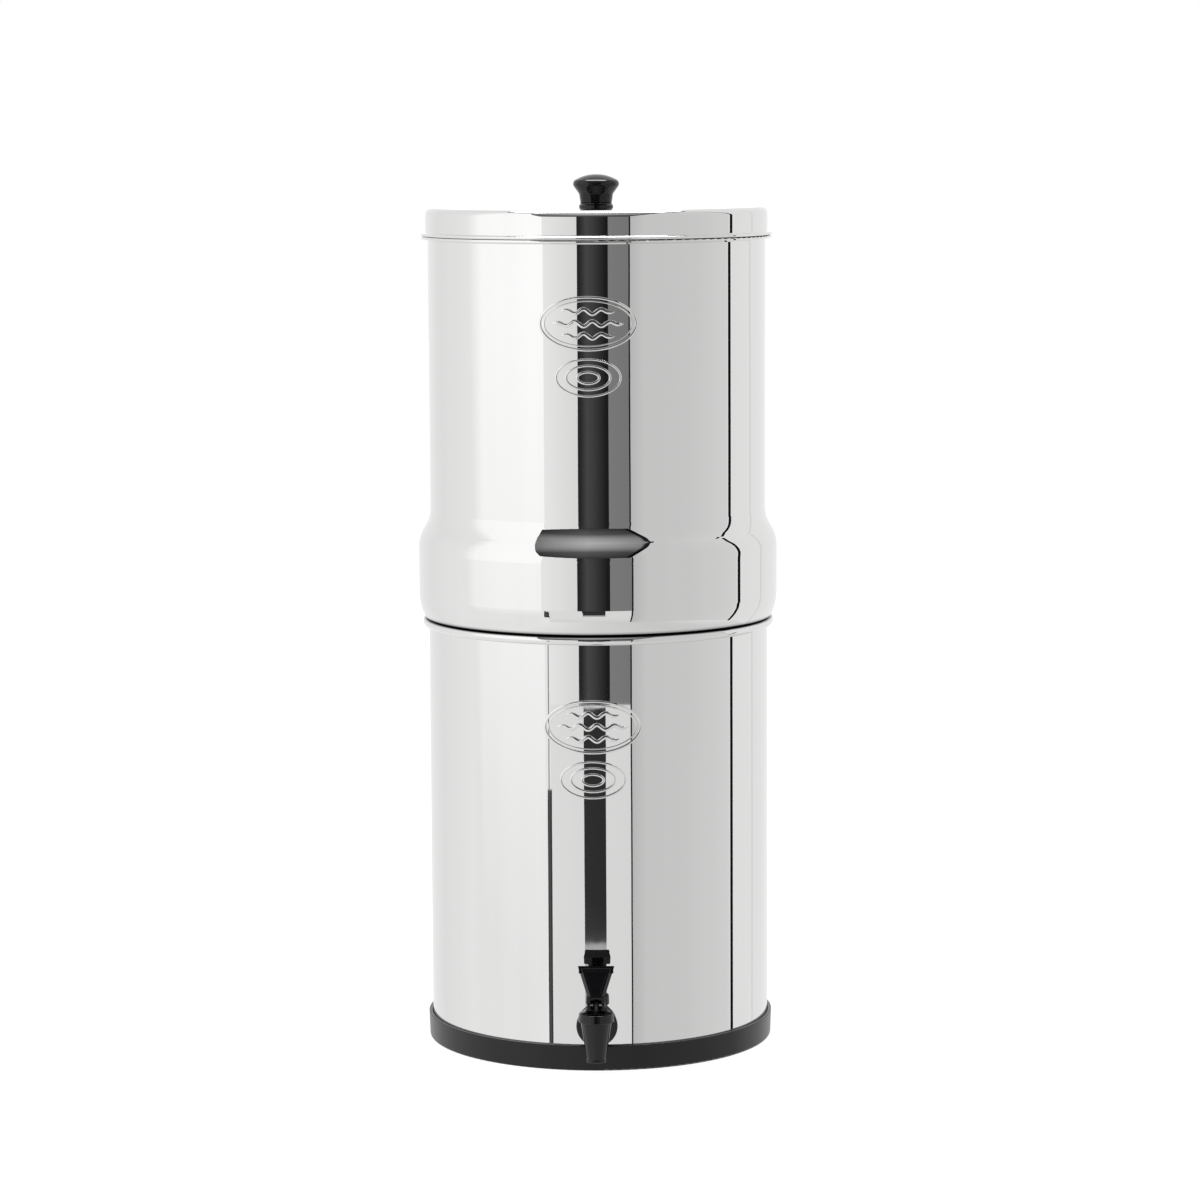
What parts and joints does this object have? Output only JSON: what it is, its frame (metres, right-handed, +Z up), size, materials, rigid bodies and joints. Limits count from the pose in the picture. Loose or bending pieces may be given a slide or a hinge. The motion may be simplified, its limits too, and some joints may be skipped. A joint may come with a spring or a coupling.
{
  "type": "gravity water filter",
  "caption": "Free-standing gravity water filter: two nested polished steel chambers, a lift-off lid with a knob, a rubber base and a self-closing lever tap.",
  "frame": {"origin": "centre of the rubber base's underside, on the surface it stands on", "axes": "+Z up along the chambers' axis; the tap points along -Y; +X is to the right seen from the tap's side"},
  "size_m": [0.2514, 0.2847, 0.6076],
  "materials": {
    "rubber_base": "satin moulded rubber",
    "chamber_steel": "mirror-polished stainless steel",
    "lid_steel": "mirror-polished stainless steel",
    "knob_plastic": "gloss black",
    "fastener_steel": "satin",
    "tap_plastic": "gloss black",
    "stem_plastic": "gloss",
    "black_rubber": "matte",
    "silicone": "translucent silicone",
    "filter_carbon": "porous carbon",
    "cap_plastic": "moulded plastic",
    "nut_plastic": "white moulded plastic"
  },
  "bodies": {
    "lower_unit": {"base_ring": "rubber_base", "lower_chamber": "chamber_steel", "spigot_body": "tap_plastic", "spigot_outer_washer": "black_rubber", "spigot_inner_washer": "black_rubber", "spigot_nut": "tap_plastic", "spigot_bonnet": "tap_plastic"},
    "upper_unit": {"upper_chamber": "chamber_steel", "filter_element_a": "filter_carbon", "filter_cap_a": "cap_plastic", "filter_washer_a": "silicone", "plug_washer_a": "silicone", "filter_wing_nut_a": "nut_plastic", "plug_wing_nut_a": "nut_plastic", "blocking_plug_a": "cap_plastic", "filter_element_b": "filter_carbon", "filter_cap_b": "cap_plastic", "filter_washer_b": "silicone", "plug_washer_b": "silicone", "filter_wing_nut_b": "nut_plastic", "plug_wing_nut_b": "nut_plastic", "blocking_plug_b": "cap_plastic"},
    "lid": {"lid_shell": "lid_steel", "lid_knob": "knob_plastic", "knob_collar": "knob_plastic", "knob_washer": "fastener_steel", "knob_screw": "fastener_steel"},
    "tap_stem": {"spigot_stem": "stem_plastic", "spigot_seat_cup": "silicone"},
    "tap_handle": {"spigot_handle": "tap_plastic", "spigot_pivot_pin": "fastener_steel"}
  },
  "joints": [
    {"name": "upper_lift", "type": "slide", "parent": "lower_unit", "child": "upper_unit", "axis": [0, 0, 1], "range_m": [0, 0.15]},
    {"name": "lid_lift", "type": "slide", "parent": "upper_unit", "child": "lid", "axis": [0, 0, 1], "range_m": [0, 0.12]},
    {"name": "stem_lift", "type": "slide", "parent": "lower_unit", "child": "tap_stem", "axis": [0, 0, 1], "range_m": [0, 0.004]},
    {"name": "handle_tilt", "type": "hinge", "parent": "tap_stem", "child": "tap_handle", "pos_m": [0, -0.14695, 0.0521], "axis": [1, 0, 0], "range_deg": [0, 55], "stiffness_Nm_per_rad": 0.05}
  ],
  "couplings": [
    {"joint": "stem_lift", "follows": "handle_tilt", "m_per_rad": 0.004166}
  ]
}
